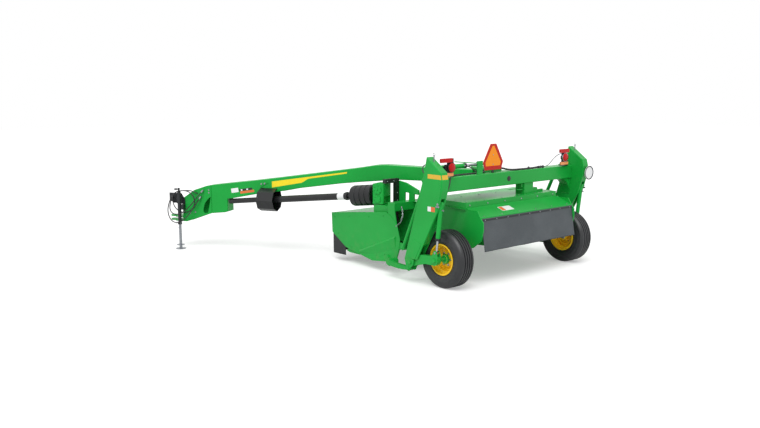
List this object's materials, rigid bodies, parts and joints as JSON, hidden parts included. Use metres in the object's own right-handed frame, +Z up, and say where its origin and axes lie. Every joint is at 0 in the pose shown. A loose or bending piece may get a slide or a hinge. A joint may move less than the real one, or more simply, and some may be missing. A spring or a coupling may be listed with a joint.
{
  "type": "trailed disc mower conditioner",
  "caption": "Side-pull mower conditioner with a swinging tongue, a row of cutting discs under a shielded header, a tined conditioner, lift cylinders on both wheel arms and a parking jack.",
  "frame": {"origin": "centre of the hitch pin's hole, midway between the clevis plates", "axes": "+Y in the direction of travel, +X to the machine's right, +Z up along the hitch pin"},
  "size_m": [4.4508, 5.314, 1.826],
  "materials": {
    "green_paint": "gloss",
    "yellow_paint": "gloss",
    "tyre_rubber": "matt",
    "black_plastic": "matt",
    "black_rubber": "matt",
    "chrome_rod": "polished",
    "bare_steel": "machined",
    "zinc_steel": "zinc plated",
    "red_lens": "gloss",
    "orange_panel": "gloss",
    "white_panel": "gloss",
    "dark_steel": "satin"
  },
  "bodies": {
    "frame": {"centre_hanger": "green_paint", "conditioner_housing": "green_paint", "cutter_bar": "green_paint", "drive_cover": "black_plastic", "end_curtain": "black_rubber", "gear_stand": "green_paint", "header_deck": "green_paint", "header_frame": "green_paint", "left_float_tube": "green_paint", "left_leg": "green_paint", "left_lower_link": "green_paint", "main_beam": "green_paint", "rear_curtain": "black_rubber", "rear_hood": "green_paint", "right_float_tube": "green_paint", "right_leg": "green_paint", "right_lower_link": "green_paint", "round_sign": "white_panel", "side_shields": "green_paint", "skid_shoes": "dark_steel", "slow_sign": "orange_panel", "swath_boards": "green_paint", "swing_barrel": "green_paint", "tail_lamps": "red_lens", "tongue_bracket": "green_paint"},
    "tongue": {"tongue_beam": "green_paint", "hitch_head": "green_paint", "jack_sleeve": "dark_steel", "input_yoke": "bare_steel", "hose_holder": "dark_steel", "hose_fittings": "zinc_steel", "hose_long": "black_rubber", "hose_short": "black_rubber", "bearing_shield": "black_plastic", "bearing_hanger": "green_paint", "front_shaft_guard": "black_plastic"},
    "swing_rod": {"swing_rod": "chrome_rod"},
    "jack_leg": {"jack_leg": "zinc_steel"},
    "swivel": {"swivel_head": "green_paint", "swivel_guard": "black_plastic"},
    "telescoping_tube": {"telescoping_tube": "black_plastic"},
    "front_lid": {"front_lid": "green_paint", "front_curtain": "black_rubber"},
    "tine_rotor": {"tine_rotor": "green_paint"},
    "left_wheel_arm": {"left_wheel_arm": "green_paint"},
    "left_wheel": {"left_tyre": "tyre_rubber", "left_rim": "yellow_paint"},
    "left_lift_barrel": {"left_lift_barrel": "green_paint"},
    "left_lift_rod": {"left_lift_rod": "chrome_rod"},
    "right_wheel_arm": {"right_wheel_arm": "green_paint"},
    "right_wheel": {"right_tyre": "tyre_rubber", "right_rim": "yellow_paint"},
    "right_lift_barrel": {"right_lift_barrel": "green_paint"},
    "right_lift_rod": {"right_lift_rod": "chrome_rod"},
    "cutter_disc_1": {"cutter_disc_1": "dark_steel"},
    "cutter_disc_2": {"cutter_disc_2": "dark_steel"},
    "cutter_disc_3": {"cutter_disc_3": "dark_steel"},
    "cutter_disc_4": {"cutter_disc_4": "dark_steel"},
    "cutter_disc_5": {"cutter_disc_5": "dark_steel"},
    "cutter_disc_6": {"cutter_disc_6": "dark_steel"}
  },
  "joints": [
    {"name": "tongue_swing", "type": "hinge", "parent": "frame", "child": "tongue", "pos_m": [2.53, -4.38209, 0.86], "axis": [0, 0, 1], "range_deg": [-30, 3]},
    {"name": "swing_cylinder", "type": "slide", "parent": "frame", "child": "swing_rod", "axis": [1, 0, 0], "range_m": [-0.14, 0.015]},
    {"name": "jack", "type": "slide", "parent": "tongue", "child": "jack_leg", "axis": [0, 0, 1], "range_m": [0, 0.25]},
    {"name": "driveline_swivel", "type": "hinge", "parent": "frame", "child": "swivel", "pos_m": [1.49, -3.48209, 0.59], "axis": [0, 0, 1], "range_deg": [-42.9, 4.4]},
    {"name": "driveline_slide", "type": "slide", "parent": "swivel", "child": "telescoping_tube", "axis": [-0.3422, 0.9337, -0.1051], "range_m": [-0.055, 0.52]},
    {"name": "front_lid", "type": "hinge", "parent": "frame", "child": "front_lid", "pos_m": [2.68, -3.00909, 0.30275], "axis": [1, 0, 0], "range_deg": [0, 85]},
    {"name": "tine_rotor", "type": "hinge", "parent": "frame", "child": "tine_rotor", "pos_m": [2.68, -3.75209, 0.06], "axis": [1, 0, 0], "continuous": true},
    {"name": "left_lift", "type": "hinge", "parent": "frame", "child": "left_wheel_arm", "pos_m": [1.2, -4.46209, -0.185], "axis": [-1, 0, 0], "range_deg": [-25, 15]},
    {"name": "left_wheel_turn", "type": "hinge", "parent": "left_wheel_arm", "child": "left_wheel", "pos_m": [1.4125, -4.88209, -0.105], "axis": [1, 0, 0], "continuous": true},
    {"name": "left_cylinder_swing", "type": "hinge", "parent": "frame", "child": "left_lift_barrel", "pos_m": [1.2, -4.96709, 0.64], "axis": [1, 0, 0], "range_deg": [-7, 5]},
    {"name": "left_cylinder_slide", "type": "slide", "parent": "left_lift_barrel", "child": "left_lift_rod", "axis": [0, 0.1089, -0.9941], "range_m": [-0.115, 0.19]},
    {"name": "right_lift", "type": "hinge", "parent": "frame", "child": "right_wheel_arm", "pos_m": [4.16, -4.46209, -0.185], "axis": [-1, 0, 0], "range_deg": [-25, 15]},
    {"name": "right_wheel_turn", "type": "hinge", "parent": "right_wheel_arm", "child": "right_wheel", "pos_m": [3.9475, -4.88209, -0.105], "axis": [1, 0, 0], "continuous": true},
    {"name": "right_cylinder_swing", "type": "hinge", "parent": "frame", "child": "right_lift_barrel", "pos_m": [4.16, -4.96709, 0.64], "axis": [1, 0, 0], "range_deg": [-7, 5]},
    {"name": "right_cylinder_slide", "type": "slide", "parent": "right_lift_barrel", "child": "right_lift_rod", "axis": [0, 0.1089, -0.9941], "range_m": [-0.115, 0.19]},
    {"name": "disc_1_spin", "type": "hinge", "parent": "frame", "child": "cutter_disc_1", "pos_m": [1.68, -3.03209, -0.223], "axis": [0, 0, 1], "continuous": true},
    {"name": "disc_2_spin", "type": "hinge", "parent": "frame", "child": "cutter_disc_2", "pos_m": [2.08, -3.03209, -0.223], "axis": [0, 0, 1], "continuous": true},
    {"name": "disc_3_spin", "type": "hinge", "parent": "frame", "child": "cutter_disc_3", "pos_m": [2.48, -3.03209, -0.223], "axis": [0, 0, 1], "continuous": true},
    {"name": "disc_4_spin", "type": "hinge", "parent": "frame", "child": "cutter_disc_4", "pos_m": [2.88, -3.03209, -0.223], "axis": [0, 0, 1], "continuous": true},
    {"name": "disc_5_spin", "type": "hinge", "parent": "frame", "child": "cutter_disc_5", "pos_m": [3.28, -3.03209, -0.223], "axis": [0, 0, 1], "continuous": true},
    {"name": "disc_6_spin", "type": "hinge", "parent": "frame", "child": "cutter_disc_6", "pos_m": [3.68, -3.03209, -0.223], "axis": [0, 0, 1], "continuous": true}
  ],
  "couplings": [
    {"joint": "swing_cylinder", "follows": "tongue_swing", "m_per_rad": 0.256},
    {"joint": "driveline_swivel", "follows": "tongue_swing", "ratio": 1.425},
    {"joint": "driveline_slide", "follows": "tongue_swing", "m_per_rad": -0.984},
    {"joint": "left_cylinder_swing", "follows": "left_lift", "ratio": 0.25},
    {"joint": "left_cylinder_slide", "follows": "left_lift", "m_per_rad": -0.42},
    {"joint": "right_cylinder_swing", "follows": "left_lift", "ratio": 0.25},
    {"joint": "right_cylinder_slide", "follows": "left_lift", "m_per_rad": -0.42},
    {"joint": "right_lift", "follows": "left_lift", "ratio": 1},
    {"joint": "disc_2_spin", "follows": "disc_1_spin", "ratio": -1},
    {"joint": "disc_3_spin", "follows": "disc_1_spin", "ratio": 1},
    {"joint": "disc_4_spin", "follows": "disc_1_spin", "ratio": -1},
    {"joint": "disc_5_spin", "follows": "disc_1_spin", "ratio": 1},
    {"joint": "disc_6_spin", "follows": "disc_1_spin", "ratio": -1}
  ]
}
